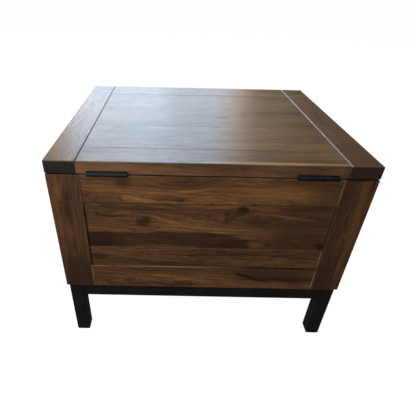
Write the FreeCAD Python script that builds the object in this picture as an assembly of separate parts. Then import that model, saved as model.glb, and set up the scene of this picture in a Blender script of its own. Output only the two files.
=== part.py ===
import FreeCAD
import Part
import math
import os

# Lift-top end table: a solid wood storage box with a hinged lid, on a welded square-tube steel base.
# Millimetres. +Z is up, the front faces -Y and the hinges are on the +Y side.
# The origin is on the floor under the middle of the whole table.

Vector = FreeCAD.Vector

# Overall
TABLE_WIDTH = 610.0
CASE_DEPTH = 490.0
CASE_HEIGHT = 280.5
BASE_HEIGHT = 156.0
LID_OPEN_ANGLE = 95.0

# Every groove is this much deeper than its tongue, and every visible seam is eased this much
GROOVE_CLEARANCE = 0.5
SEAM_EASE = 0.4
CUT_OVERRUN = 1.0

# Lid: end boards, a rear rail, a wider front rail that overhangs as a finger grip, and a glued field
LID_THICKNESS = 25.0
LID_GAP = 2.5
LID_FRONT_OVERHANG = 18.0
LID_END_WIDTH = 58.0
LID_RAIL_WIDTH = 62.0
LID_FIELD_BOARDS = 3
LID_TONGUE_THICKNESS = 8.0
LID_TONGUE_LENGTH = 8.0
LID_TONGUE_STOP = 20.0
LID_EDGE_ROUND = 1.5
LID_UNDER_EASE = 0.8
LID_GROOVE_DEPTH = 1.7
LID_RAIL_SEAM_DEPTH = 0.8

# Case walls: corner posts, flush rails and a panel set back between them
POST_WIDTH = 61.5
CASE_EDGE_ROUND = 1.5
CASE_EDGE_EASE = 0.8
TOP_RAIL_HEIGHT = 59.5
BOTTOM_RAIL_HEIGHT = 61.0
RAIL_THICKNESS = 22.0
PANEL_THICKNESS = 16.0
PANEL_RECESS = 2.0
LOWER_BOARD_HEIGHT = 51.0
TONGUE_SETBACK = 6.0
TONGUE_THICKNESS = 8.0
TONGUE_LENGTH = 8.0

# Floor of the box
CLEAT_SIZE = 18.0
FLOOR_THICKNESS = 9.0
FLOOR_CLEARANCE = 0.8

# Steel base
LEG_SIZE = 30.0
BASE_INSET = 4.0
BASE_RAIL_HEIGHT = 35.0
TUBE_WALL = 1.5
TUBE_ROUND = 2.0
TAB_REACH = 45.0
TAB_THICKNESS = 3.0
TAB_SCREW_INSET = 14.0
GLIDE_HEIGHT = 3.0
GLIDE_PLUG_LENGTH = 15.0
GLIDE_CLEARANCE = 0.2

# Butt hinges: the case leaf lies on the rim, in the gap under the lid, the lid leaf in a mortise.
# Each leaf rolls round the pin from its outer face
HINGE_LENGTH = 73.4
HINGE_END_INSET = 77.2
HINGE_KNUCKLES = 5
HINGE_BARREL = 9.0
HINGE_STANDOFF = 5.0
HINGE_SWING_CLEARANCE = 0.3
LEAF_THICKNESS = 2.4
LEAF_AXIS_OFFSET = 4.3
LEAF_REACH = 20.0
LEAF_CORNER_ROUND = 3.0
MORTISE_CLEARANCE = 0.2
PIN_DIAMETER = 5.0
PIN_CLEARANCE = 0.05
PIN_HEAD_DIAMETER = 7.6
PIN_HEAD_LENGTH = 1.3
LEAF_SCREWS = 3
LEAF_SCREW_INSET = 13.0
LEAF_SCREW_REACH = 11.0
LEAF_SCREW_STAGGER = 3.0

# Screws have no threads. Screws, pins, rivets and their holes are faceted because there are many
HEAD_SIDES = 12
SHANK_SIDES = 6
SCREW_DIAMETER = 3.5
SCREW_HEAD_DIAMETER = 7.0
SCREW_HEAD_LENGTH = 1.8
SCREW_LENGTH = 16.0
PILOT_CLEARANCE = 0.05
BASE_SCREW_DIAMETER = 5.0
BASE_SCREW_HEAD_DIAMETER = 10.0
BASE_SCREW_HEAD_LENGTH = 2.4
BASE_SCREW_LENGTH = 30.0

# Folding lid stays. Each arm is as long as the opposite side of the four-bar, so it is a parallelogram
STAY_CASE_PIVOT_DROP = 138.0
STAY_LID_PIVOT_AHEAD = 150.0
STAY_LID_PIVOT_DROP = 12.4
STAY_ARM_WIDTH = 14.0
STAY_ARM_THICKNESS = 2.0
STAY_ARM_SPACE = 0.4
STAY_PLATE_THICKNESS = 2.0
STAY_PLATE_WIDTH = 18.0
STAY_PLATE_MARGIN = 1.0
STAY_PLATE_LENGTH = 44.0
STAY_SCREW_SPACING = 20.0
STAY_FLANGE_WIDTH = 28.0
STAY_FLANGE_LENGTH = 34.0
STAY_FLANGE_SCREW_INSET = 8.0
STAY_STOP_START = 9.0
STAY_STOP_LENGTH = 9.0
STAY_STOP_THICKNESS = 2.5
STAY_STOP_CLEARANCE = 0.15
RIVET_DIAMETER = 5.0
RIVET_CLEARANCE = 0.08
RIVET_HEAD_DIAMETER = 9.0
RIVET_HEAD_LENGTH = 1.4

# Rubber bumpers on the front posts carry the closed lid
BUMPER_DIAMETER = 10.0

# Heights
CASE_BOTTOM = BASE_HEIGHT
CASE_TOP = CASE_BOTTOM + CASE_HEIGHT
LID_BOTTOM = CASE_TOP + LID_GAP
LID_TOP = LID_BOTTOM + LID_THICKNESS
FLOOR_BOTTOM = CASE_BOTTOM + CLEAT_SIZE
PANEL_BOTTOM = CASE_BOTTOM + BOTTOM_RAIL_HEIGHT
PANEL_SEAM = PANEL_BOTTOM + LOWER_BOARD_HEIGHT
PANEL_TOP = CASE_TOP - TOP_RAIL_HEIGHT
HINGE_Z = CASE_TOP + LEAF_AXIS_OFFSET
LID_LEAF_TOP = HINGE_Z + LEAF_AXIS_OFFSET
LID_LEAF_BOTTOM = LID_LEAF_TOP - LEAF_THICKNESS

# Places across and along the table
BARREL_RADIUS = HINGE_BARREL / 2
WHOLE_DEPTH = LID_FRONT_OVERHANG + CASE_DEPTH + HINGE_STANDOFF + BARREL_RADIUS
LID_FRONT = -WHOLE_DEPTH / 2
CASE_FRONT = LID_FRONT + LID_FRONT_OVERHANG
CASE_REAR = CASE_FRONT + CASE_DEPTH
CASE_MIDDLE = (CASE_FRONT + CASE_REAR) / 2
HINGE_Y = CASE_REAR + HINGE_STANDOFF
SIDE_X = TABLE_WIDTH / 2
HINGE_OFFSET = SIDE_X - HINGE_END_INSET - HINGE_LENGTH / 2
POST_INNER_X = SIDE_X - POST_WIDTH
LID_SEAM_X = SIDE_X - LID_END_WIDTH
LID_FRONT_SEAM = CASE_FRONT + LID_RAIL_WIDTH
LID_REAR_SEAM = CASE_REAR - LID_RAIL_WIDTH
GROOVE_DEPTH = TONGUE_LENGTH + GROOVE_CLEARANCE
LID_GROOVE_REACH = LID_TONGUE_LENGTH + GROOVE_CLEARANCE
LID_TONGUE_BOTTOM = LID_BOTTOM + (LID_THICKNESS - LID_TONGUE_THICKNESS) / 2
LID_TONGUE_Z = (LID_TONGUE_BOTTOM, LID_TONGUE_BOTTOM + LID_TONGUE_THICKNESS)
TONGUE_DEPTH = (TONGUE_SETBACK, TONGUE_SETBACK + TONGUE_THICKNESS)
LEG_OUTER_X = SIDE_X - BASE_INSET
LEG_INNER_X = LEG_OUTER_X - LEG_SIZE
LEG_FRONT = CASE_FRONT + BASE_INSET
LEG_REAR = CASE_REAR - BASE_INSET

# Stay pivots, as distances ahead of the hinge axis and above it
CASE_PIVOT = (HINGE_STANDOFF + POST_WIDTH - STAY_PLATE_WIDTH / 2 - STAY_PLATE_MARGIN, -STAY_CASE_PIVOT_DROP)
LID_PIVOT = (STAY_LID_PIVOT_AHEAD, LID_BOTTOM - HINGE_Z - STAY_LID_PIVOT_DROP)
ELBOW = (CASE_PIVOT[0] + LID_PIVOT[0], CASE_PIVOT[1] + LID_PIVOT[1])

# The stay's layers on the right side, from the post inwards
STAY_PLATE_X = POST_INNER_X - STAY_PLATE_THICKNESS
LOWER_ARM_OUTER = STAY_PLATE_X - STAY_ARM_SPACE
LOWER_ARM_INNER = LOWER_ARM_OUTER - STAY_ARM_THICKNESS
UPPER_ARM_OUTER = LOWER_ARM_INNER - STAY_ARM_SPACE
UPPER_ARM_INNER = UPPER_ARM_OUTER - STAY_ARM_THICKNESS


def block(x, y, z):
    """Box between the ends of three ranges."""
    return Part.makeBox(x[1] - x[0], y[1] - y[0], z[1] - z[0], Vector(x[0], y[0], z[0]))


def edges_on(shape, *planes):
    """Straight edges that lie on every plane, each given as an axis letter and a place on it."""
    def lies_on(edge, axis, place):
        offsets = [abs(getattr(vertex.Point, axis) - place) for vertex in edge.Vertexes]
        return max(offsets) < Part.Precision.confusion()
    return [edge for edge in shape.Edges if all(lies_on(edge, axis, place) for axis, place in planes)]


def rounded(shape, radius, *edge_planes):
    """Shape with a fillet on each edge given as a pair of planes."""
    edges = [edge for planes in edge_planes for edge in edges_on(shape, *planes)]
    return shape.makeFillet(radius, edges)


def chamfered(shape, size, *edge_planes):
    """Shape with a chamfer on each edge given as a pair of planes."""
    edges = [edge for planes in edge_planes for edge in edges_on(shape, *planes)]
    return shape.makeChamfer(size, edges)


def prism(sides, radius, start, end):
    """Regular prism from one point to another."""
    along = end - start
    face = Part.Face(Part.makePolygon([
        Vector(math.cos(math.tau * i / sides), math.sin(math.tau * i / sides), 0) * radius
        for i in range(sides + 1)
    ]))
    solid = face.extrude(Vector(0, 0, along.Length))
    solid.Placement = FreeCAD.Placement(start, FreeCAD.Rotation(Vector(0, 0, 1), along))
    return solid


def pin(diameter, start, end):
    """Faceted round bar from one point to another."""
    return prism(HEAD_SIDES, diameter / 2, start, end)


def bore(diameter, start, end):
    """Faceted hole whose flats just touch a round bar of the diameter."""
    return prism(HEAD_SIDES, diameter / 2 / math.cos(math.pi / HEAD_SIDES), start, end)


def mirrored(shape):
    """The left-hand copy of a right-hand shape."""
    return shape.mirror(Vector(0, 0, 0), Vector(1, 0, 0))


def joined(first, *others):
    """One solid from touching shapes, with no leftover seams between flat faces."""
    return first.fuse(list(others)).removeSplitter()


# Screws

def headed(at, direction, head_length, length, head, shank):
    """Round head and shank of two diameters, from the top of the head along a direction."""
    neck = at + direction * head_length
    tip = at + direction * length
    return joined(pin(head, at, neck), prism(SHANK_SIDES, shank / 2, neck, tip))


def wood_screw(at, direction):
    """Flush-headed wood screw: the top of its head is at the point, and it drives along the direction."""
    return headed(at, direction, SCREW_HEAD_LENGTH, SCREW_LENGTH, SCREW_HEAD_DIAMETER, SCREW_DIAMETER)


def screw_hole(at, direction):
    """Seat and pilot hole for a wood screw, open above its head."""
    return headed(
        at - direction * CUT_OVERRUN,
        direction,
        CUT_OVERRUN + SCREW_HEAD_LENGTH,
        CUT_OVERRUN + SCREW_LENGTH + GROOVE_CLEARANCE,
        SCREW_HEAD_DIAMETER + 2 * PILOT_CLEARANCE,
        SCREW_DIAMETER + 2 * PILOT_CLEARANCE,
    )


def base_screw(side_x, side_y):
    """Pan-head screw driven upwards through a corner tab, with its head under the tab."""
    up = Vector(0, 0, 1)
    head = tab_screw_point(side_x, side_y) - up * BASE_SCREW_HEAD_LENGTH
    length = BASE_SCREW_HEAD_LENGTH + BASE_SCREW_LENGTH
    return headed(head, up, BASE_SCREW_HEAD_LENGTH, length, BASE_SCREW_HEAD_DIAMETER, BASE_SCREW_DIAMETER)


# Hinges

def hinge_screw_places():
    """Places of one right-hand leaf's screws, as (x, y)."""
    end = HINGE_LENGTH / 2 - LEAF_SCREW_INSET
    for index in range(LEAF_SCREWS):
        x = HINGE_OFFSET - end + 2 * end * index / (LEAF_SCREWS - 1)
        stagger = LEAF_SCREW_STAGGER if index % 2 else 0
        yield x, CASE_REAR - LEAF_REACH + LEAF_SCREW_REACH - stagger


def case_leaf_screws(maker):
    """One shape for each screw in the right-hand case leaf, pointing down into the rim."""
    height = CASE_TOP + LEAF_THICKNESS
    return [maker(Vector(x, y, height), Vector(0, 0, -1)) for x, y in hinge_screw_places()]


def lid_leaf_screws(maker):
    """One shape for each screw in the right-hand lid leaf, pointing up into the lid."""
    return [maker(Vector(x, y, LID_LEAF_BOTTOM), Vector(0, 0, 1)) for x, y in hinge_screw_places()]


def hinge_leaf(height, own_knuckles, screw_holes):
    """Right-hand leaf: a plate from a height upwards, and its share of the barrel's knuckles."""
    start = HINGE_OFFSET - HINGE_LENGTH / 2
    plate_x = (start, start + HINGE_LENGTH)
    plate_y = (CASE_REAR - LEAF_REACH, HINGE_Y - BARREL_RADIUS - HINGE_SWING_CLEARANCE)
    plate_z = (height, height + LEAF_THICKNESS)
    plate = rounded(
        block(plate_x, plate_y, plate_z),
        LEAF_CORNER_ROUND,
        (("x", plate_x[0]), ("y", plate_y[0])),
        (("x", plate_x[1]), ("y", plate_y[0])),
    )
    pitch = HINGE_LENGTH / HINGE_KNUCKLES
    knuckles = []
    for index in own_knuckles:
        low = start + index * pitch + (HINGE_SWING_CLEARANCE / 2 if index > 0 else 0)
        last = index == HINGE_KNUCKLES - 1
        high = start + (index + 1) * pitch - (0 if last else HINGE_SWING_CLEARANCE / 2)
        at = Vector(low, HINGE_Y, HINGE_Z)
        knuckles.append(Part.makeCylinder(BARREL_RADIUS, high - low, at, Vector(1, 0, 0)))
        knuckles.append(block((low, high), (plate_y[1], HINGE_Y), plate_z))
    pin_hole = bore(
        PIN_DIAMETER + 2 * PIN_CLEARANCE,
        Vector(plate_x[0] - CUT_OVERRUN, HINGE_Y, HINGE_Z),
        Vector(plate_x[1] + CUT_OVERRUN, HINGE_Y, HINGE_Z),
    )
    return joined(plate, *knuckles).cut([pin_hole] + screw_holes)


def hinge_case_leaf():
    """Leaf on the rim of the box, with the odd knuckles."""
    return hinge_leaf(CASE_TOP, range(0, HINGE_KNUCKLES, 2), case_leaf_screws(screw_hole))


def hinge_lid_leaf():
    """Leaf in the lid's mortise, with the even knuckles."""
    return hinge_leaf(LID_LEAF_BOTTOM, range(1, HINGE_KNUCKLES, 2), lid_leaf_screws(screw_hole))


def hinge_pin():
    """Pin with a flat head at each end of the barrel."""
    ends = [Vector(HINGE_OFFSET + side * HINGE_LENGTH / 2, HINGE_Y, HINGE_Z) for side in (-1, 1)]
    head = Vector(PIN_HEAD_LENGTH, 0, 0)
    return joined(
        pin(PIN_DIAMETER, *ends),
        pin(PIN_HEAD_DIAMETER, ends[0] - head, ends[0]),
        pin(PIN_HEAD_DIAMETER, ends[1], ends[1] + head),
    )


def lid_mortise():
    """Pocket under the lid for the right-hand hinge."""
    half = HINGE_LENGTH / 2 + MORTISE_CLEARANCE
    return block(
        (HINGE_OFFSET - half, HINGE_OFFSET + half),
        (CASE_REAR - LEAF_REACH - MORTISE_CLEARANCE, CASE_REAR + CUT_OVERRUN),
        (LID_BOTTOM - CUT_OVERRUN, LID_LEAF_TOP),
    )


# Case walls: each is made at the front, with its outer face on y = 0, then turned to its side

def on_wall(shape, side):
    """A wall piece moved from the middle of an outer face at y = 0 to its side of the case."""
    turn, place = {
        "front": (0, Vector(0, CASE_FRONT, 0)),
        "right": (90, Vector(SIDE_X, CASE_MIDDLE, 0)),
        "rear": (180, Vector(0, CASE_REAR, 0)),
        "left": (270, Vector(-SIDE_X, CASE_MIDDLE, 0)),
    }[side]
    return shape.rotated(Vector(0, 0, 0), Vector(0, 0, 1), turn).translated(place)


def wall_half(side):
    """Half the clear length between a wall's two posts."""
    return (TABLE_WIDTH if side in ("front", "rear") else CASE_DEPTH) / 2 - POST_WIDTH


def wall_rail(side, low, high, outer_edge, groove, tenon):
    """Flush rail with stub tenons: its outer edge is eased, and its groove holds the panel."""
    half = wall_half(side)
    inner_edge = low if outer_edge == high else high
    body = block((-half, half), (0, RAIL_THICKNESS), (low, high))
    body = chamfered(body, CASE_EDGE_EASE, (("y", 0), ("z", outer_edge)))
    seams = (("z", inner_edge), ("x", -half), ("x", half))
    body = chamfered(body, SEAM_EASE, *[(("y", 0), seam) for seam in seams])
    body = body.cut(block((-half - CUT_OVERRUN, half + CUT_OVERRUN), TONGUE_DEPTH, groove))
    return joined(body, block((-half - TONGUE_LENGTH, -half), TONGUE_DEPTH, tenon),
                  block((half, half + TONGUE_LENGTH), TONGUE_DEPTH, tenon))


def wall_top_rail(side):
    """Rail under the lid, grooved along its lower edge."""
    groove = (PANEL_TOP - CUT_OVERRUN, PANEL_TOP + GROOVE_DEPTH)
    tenon = (groove[1], CASE_TOP)
    return on_wall(wall_rail(side, PANEL_TOP, CASE_TOP, CASE_TOP, groove, tenon), side)


def wall_bottom_rail(side):
    """Rail on the steel base, grooved along its upper edge."""
    groove = (PANEL_BOTTOM - GROOVE_DEPTH, PANEL_BOTTOM + CUT_OVERRUN)
    tenon = (CASE_BOTTOM, groove[0])
    return on_wall(wall_rail(side, CASE_BOTTOM, PANEL_BOTTOM, CASE_BOTTOM, groove, tenon), side)


def wall_board(side, low, high, tongue):
    """One panel board: its tongue reaches into both posts and one rail."""
    half = wall_half(side)
    face = PANEL_RECESS
    body = block((-half, half), (face, face + PANEL_THICKNESS), (low, high))
    body = chamfered(body, SEAM_EASE, (("y", face), ("z", low)), (("y", face), ("z", high)))
    return joined(body, block((-half - TONGUE_LENGTH, half + TONGUE_LENGTH), TONGUE_DEPTH, tongue))


def wall_upper_board(side):
    """Wide board of the panel, under the top rail."""
    tongue = (PANEL_SEAM, PANEL_TOP + TONGUE_LENGTH)
    return on_wall(wall_board(side, PANEL_SEAM, PANEL_TOP, tongue), side)


def wall_lower_board(side):
    """Narrow board of the panel, glued to the wide one and set in the bottom rail."""
    tongue = (PANEL_BOTTOM - TONGUE_LENGTH, PANEL_SEAM)
    return on_wall(wall_board(side, PANEL_BOTTOM, PANEL_SEAM, tongue), side)


def corner_post(side_x, side_y):
    """Square post, rounded on its outer edges and grooved for the two walls that meet in it."""
    outer_x = side_x * SIDE_X
    inner_x = side_x * POST_INNER_X
    outer_y = CASE_REAR if side_y > 0 else CASE_FRONT
    inner_y = outer_y - side_y * POST_WIDTH
    post = block(sorted((outer_x, inner_x)), sorted((outer_y, inner_y)), (CASE_BOTTOM, CASE_TOP))
    outer = (("x", outer_x), ("y", outer_y))
    ends = [(plane, ("z", z)) for plane in outer for z in (CASE_BOTTOM, CASE_TOP)]
    post = rounded(chamfered(post, CASE_EDGE_EASE, *ends), CASE_EDGE_ROUND, outer)
    height = (CASE_BOTTOM - CUT_OVERRUN, CASE_TOP + CUT_OVERRUN)
    near, far = TONGUE_DEPTH
    groove_x = sorted((inner_x - side_x * CUT_OVERRUN, inner_x + side_x * GROOVE_DEPTH))
    groove_y = sorted((inner_y - side_y * CUT_OVERRUN, inner_y + side_y * GROOVE_DEPTH))
    return post.cut([
        block(groove_x, sorted((outer_y - side_y * near, outer_y - side_y * far)), height),
        block(sorted((outer_x - side_x * near, outer_x - side_x * far)), groove_y, height),
        base_screw_pilot(side_x, side_y),
    ])


def rear_post():
    """Right rear post, with pilot holes for the lid stay's bracket."""
    return corner_post(1, 1).cut(case_bracket_screws(screw_hole))


# Floor of the box

def floor_cleats():
    """Strip along the foot of each wall that carries the floor."""
    strips = []
    for side in ("front", "right", "rear", "left"):
        half = wall_half(side)
        y = (RAIL_THICKNESS, RAIL_THICKNESS + CLEAT_SIZE)
        strips.append(on_wall(block((-half, half), y, (CASE_BOTTOM, FLOOR_BOTTOM)), side))
    return Part.makeCompound(strips)


def floor_panel():
    """Floor with its corners notched round the posts."""
    gap = RAIL_THICKNESS + FLOOR_CLEARANCE
    notch = POST_WIDTH + FLOOR_CLEARANCE
    z = (FLOOR_BOTTOM, FLOOR_BOTTOM + FLOOR_THICKNESS)
    wide = block((-SIDE_X + gap, SIDE_X - gap), (CASE_FRONT + notch, CASE_REAR - notch), z)
    deep = block((-SIDE_X + notch, SIDE_X - notch), (CASE_FRONT + gap, CASE_REAR - gap), z)
    return joined(wide, deep)


# Steel base

def tube(x, y, z, axis):
    """Square tube along an axis, with rounded corners outside and in."""
    ranges = {"x": x, "y": y, "z": z}
    across = [name for name in ranges if name != axis]
    corners = [((across[0], a), (across[1], b)) for a in ranges[across[0]] for b in ranges[across[1]]]
    outer = rounded(block(x, y, z), TUBE_ROUND, *corners)
    hollow = {name: (low + TUBE_WALL, high - TUBE_WALL) for name, (low, high) in ranges.items()}
    hollow[axis] = (ranges[axis][0] - CUT_OVERRUN, ranges[axis][1] + CUT_OVERRUN)
    return outer.cut(block(hollow["x"], hollow["y"], hollow["z"]))


def leg_ranges(side_x, side_y):
    """Plan of one leg, as its x and y ranges."""
    x = (side_x * LEG_OUTER_X, side_x * LEG_INNER_X)
    outer_y = LEG_REAR if side_y > 0 else LEG_FRONT
    return sorted(x), sorted((outer_y, outer_y - side_y * LEG_SIZE))


def base_leg(side_x, side_y):
    """Leg tube, from its glide up to the underside of the case."""
    x, y = leg_ranges(side_x, side_y)
    return tube(x, y, (GLIDE_HEIGHT, BASE_HEIGHT), "z")


def base_rail(side):
    """Tube between two legs, flush with their outer faces and with the top of the base."""
    z = (BASE_HEIGHT - BASE_RAIL_HEIGHT, BASE_HEIGHT)
    if side in ("front", "rear"):
        y = leg_ranges(1, 1 if side == "rear" else -1)[1]
        return tube((-LEG_INNER_X, LEG_INNER_X), y, z, "x")
    x = leg_ranges(1 if side == "right" else -1, 1)[0]
    return tube(x, (LEG_FRONT + LEG_SIZE, LEG_REAR - LEG_SIZE), z, "y")


def tab_corner(side_x, side_y):
    """Inner corner of the base frame, where a tab is welded."""
    return side_x * LEG_INNER_X, LEG_REAR - LEG_SIZE if side_y > 0 else LEG_FRONT + LEG_SIZE


def tab_screw_point(side_x, side_y):
    """Underside of a corner tab at its screw."""
    x, y = tab_corner(side_x, side_y)
    return Vector(x - side_x * TAB_SCREW_INSET, y - side_y * TAB_SCREW_INSET, BASE_HEIGHT - TAB_THICKNESS)


def base_screw_pilot(side_x, side_y):
    """Straight hole for a base screw, through its tab and into the post."""
    start = tab_screw_point(side_x, side_y)
    radius = BASE_SCREW_DIAMETER / 2 + PILOT_CLEARANCE
    rise = Vector(0, 0, BASE_SCREW_LENGTH + GROOVE_CLEARANCE)
    return prism(SHANK_SIDES, radius, start - Vector(0, 0, CUT_OVERRUN), start + rise)


def corner_tab(side_x, side_y):
    """Triangular plate welded into a corner of the base, drilled for a screw into the post."""
    x, y = tab_corner(side_x, side_y)
    z = BASE_HEIGHT - TAB_THICKNESS
    corners = [Vector(x, y, z), Vector(x - side_x * TAB_REACH, y, z), Vector(x, y - side_y * TAB_REACH, z)]
    plate = Part.Face(Part.makePolygon(corners + corners[:1])).extrude(Vector(0, 0, TAB_THICKNESS))
    return plate.cut(base_screw_pilot(side_x, side_y))


def leg_glide(side_x, side_y):
    """Plastic foot: a flange under the tube and a plug inside it."""
    x, y = leg_ranges(side_x, side_y)
    flange = block(x, y, (0, GLIDE_HEIGHT))
    corners = [(("x", a), ("y", b)) for a in x for b in y]
    fit = TUBE_WALL + GLIDE_CLEARANCE
    plug = block(
        (x[0] + fit, x[1] - fit),
        (y[0] + fit, y[1] - fit),
        (GLIDE_HEIGHT, GLIDE_HEIGHT + GLIDE_PLUG_LENGTH),
    )
    return joined(chamfered(flange, TUBE_ROUND, *corners), plug)


CORNERS = {
    "front_left": (-1, -1),
    "front_right": (1, -1),
    "rear_left": (-1, 1),
    "rear_right": (1, 1),
}


def at_corners(maker):
    """One shape for each corner of the table, as a group."""
    return Part.makeCompound([maker(*corner) for corner in CORNERS.values()])


# Lid

def lid_seam_cut(x):
    """V-groove along the lid's top at an end board's seam."""
    front = Vector(x, LID_FRONT - CUT_OVERRUN, LID_TOP)
    rear = Vector(x, CASE_REAR + CUT_OVERRUN, LID_TOP)
    return v_groove(front, rear, LID_GROOVE_DEPTH)


def lid_cross_seam_cut(y, depth):
    """V along a seam between two boards of the lid."""
    return v_groove(Vector(-LID_SEAM_X, y, LID_TOP), Vector(LID_SEAM_X, y, LID_TOP), depth)


def v_groove(start, end, depth):
    """Prism that cuts a right-angled V into the lid's top between two points."""
    along = end - start
    side = Vector(0, 0, 1).cross(along).normalize() * 2 * depth
    rise = Vector(0, 0, depth)
    corners = [start - rise, start + side + rise, start - side + rise]
    return Part.Face(Part.makePolygon(corners + corners[:1])).extrude(along)


def lid_edges(body, corners, sides):
    """Lid board with rounded corners and top edges on its outer sides, and eased lower edges."""
    body = chamfered(body, LID_UNDER_EASE, *[(side, ("z", LID_BOTTOM)) for side in sides])
    return rounded(body, LID_EDGE_ROUND, *corners, *[(side, ("z", LID_TOP)) for side in sides])


def lid_end():
    """Right end board: grooved along its inner edge, with a tenon into the front rail."""
    sides = (("x", SIDE_X), ("y", CASE_REAR))
    body = block((LID_SEAM_X, SIDE_X), (LID_FRONT_SEAM, CASE_REAR), (LID_BOTTOM, LID_TOP))
    body = lid_edges(body, [sides], sides)
    groove = block(
        (LID_SEAM_X - CUT_OVERRUN, LID_SEAM_X + LID_GROOVE_REACH),
        (LID_FRONT_SEAM - CUT_OVERRUN, CASE_REAR - LID_TONGUE_STOP),
        LID_TONGUE_Z,
    )
    tenon = block(
        (LID_SEAM_X + LID_TONGUE_STOP, SIDE_X - LID_TONGUE_STOP),
        (LID_FRONT_SEAM - LID_TONGUE_LENGTH, LID_FRONT_SEAM),
        LID_TONGUE_Z,
    )
    return joined(body, tenon).cut([groove, lid_seam_cut(LID_SEAM_X)] + lid_bracket_screws(screw_hole))


def lid_front_rail():
    """Rail across the whole front, grooved along its rear edge for the field and the end boards."""
    left, right, front = (("x", -SIDE_X), ("x", SIDE_X), ("y", LID_FRONT))
    body = block((-SIDE_X, SIDE_X), (LID_FRONT, LID_FRONT_SEAM), (LID_BOTTOM, LID_TOP))
    body = lid_edges(body, [(left, front), (right, front)], (left, right, front))
    reach = SIDE_X - LID_TONGUE_STOP
    groove_y = (LID_FRONT_SEAM - LID_GROOVE_REACH, LID_FRONT_SEAM + CUT_OVERRUN)
    groove = block((-reach, reach), groove_y, LID_TONGUE_Z)
    return body.cut([groove] + seam_cuts((LID_FRONT_SEAM, LID_RAIL_SEAM_DEPTH)))


def lid_cross_board(y, tongue_y):
    """Board between the end boards, with a tongue at each end."""
    reach = LID_SEAM_X + LID_TONGUE_LENGTH
    body = block((-LID_SEAM_X, LID_SEAM_X), y, (LID_BOTTOM, LID_TOP))
    return joined(body, block((-reach, reach), tongue_y, LID_TONGUE_Z))


def seam_cuts(*places):
    """V-grooves at both ends of a cross board and along its seams, each a y place and a depth."""
    ends = [lid_seam_cut(LID_SEAM_X), lid_seam_cut(-LID_SEAM_X)]
    return ends + [lid_cross_seam_cut(*place) for place in places]


def lid_rear_rail():
    """Rail over the hinges, with their mortises."""
    body = lid_cross_board((LID_REAR_SEAM, CASE_REAR), (LID_REAR_SEAM, CASE_REAR - LID_TONGUE_STOP))
    body = lid_edges(body, [], [("y", CASE_REAR)])
    pockets = [lid_mortise()] + lid_leaf_screws(screw_hole)
    pockets += [mirrored(pocket) for pocket in pockets]
    return body.cut(pockets + seam_cuts((LID_REAR_SEAM, LID_RAIL_SEAM_DEPTH)))


def lid_field_board(index):
    """Field board, counted from the front: the first also has a tongue into the front rail."""
    width = (LID_REAR_SEAM - LID_FRONT_SEAM) / LID_FIELD_BOARDS
    y = (LID_FRONT_SEAM + index * width, LID_FRONT_SEAM + (index + 1) * width)
    board = lid_cross_board(y, y)
    if index == 0:
        tongue_y = (LID_FRONT_SEAM - LID_TONGUE_LENGTH, LID_FRONT_SEAM)
        board = joined(board, block((-LID_SEAM_X, LID_SEAM_X), tongue_y, LID_TONGUE_Z))
    front_depth = LID_RAIL_SEAM_DEPTH if index == 0 else SEAM_EASE
    rear_depth = LID_RAIL_SEAM_DEPTH if index == LID_FIELD_BOARDS - 1 else SEAM_EASE
    return board.cut(seam_cuts((y[0], front_depth), (y[1], rear_depth)))


def lid_bumper():
    """Rubber button on the right front post, as tall as the gap under the lid."""
    at = Vector(SIDE_X - POST_WIDTH / 2, CASE_FRONT + POST_WIDTH / 2, CASE_TOP)
    return pin(BUMPER_DIAMETER, at, at + Vector(0, 0, LID_GAP))


# Lid stays, on the right side. A place is (ahead, up) from the hinge axis

def stay_point(x, place):
    """Point in space of a place on a stay."""
    return Vector(x, HINGE_Y - place[0], HINGE_Z + place[1])


def link(start, end, width, outer_x, inner_x):
    """Flat bar with round ends about two places, between two x planes."""
    a, b = stay_point(outer_x, start), stay_point(outer_x, end)
    along = (b - a).normalize() * (width / 2)
    side = along.cross(Vector(1, 0, 0))
    outline = Part.Wire([
        Part.makeLine(a + side, b + side),
        Part.Arc(b + side, b + along, b - side).toShape(),
        Part.makeLine(b - side, a - side),
        Part.Arc(a - side, a - along, a + side).toShape(),
    ])
    return Part.Face(outline).extrude(Vector(inner_x - outer_x, 0, 0))


def pivot_hole(place):
    """Clearance hole for a rivet, through every layer of a stay."""
    return bore(
        RIVET_DIAMETER + 2 * RIVET_CLEARANCE,
        stay_point(SIDE_X, place),
        stay_point(UPPER_ARM_INNER - CUT_OVERRUN, place),
    )


def rivet(place, outer_x, inner_x, outer_head):
    """Rivet through the layers between two x planes: headed inside, and outside headed or flush."""
    outer = stay_point(outer_x, place)
    inner = stay_point(inner_x, place)
    head = Vector(RIVET_HEAD_LENGTH, 0, 0)
    heads = [pin(RIVET_HEAD_DIAMETER, inner - head, inner)]
    if outer_head:
        heads.append(pin(RIVET_HEAD_DIAMETER, outer, outer + head))
    return joined(pin(RIVET_DIAMETER, inner, outer), *heads)


def case_bracket_screws(maker):
    """One shape for each screw of the case bracket, driven into the post."""
    ahead, up = CASE_PIVOT
    places = [(ahead, up - STAY_SCREW_SPACING * count) for count in (1, 2)]
    return [maker(stay_point(STAY_PLATE_X, place), Vector(1, 0, 0)) for place in places]


def stay_case_bracket():
    """Strap screwed to the rear post, with the lower arm's pivot at its top."""
    foot = (CASE_PIVOT[0], CASE_PIVOT[1] - STAY_PLATE_LENGTH)
    strap = link(CASE_PIVOT, foot, STAY_PLATE_WIDTH, POST_INNER_X, STAY_PLATE_X)
    return strap.cut([pivot_hole(CASE_PIVOT)] + case_bracket_screws(screw_hole))


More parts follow.
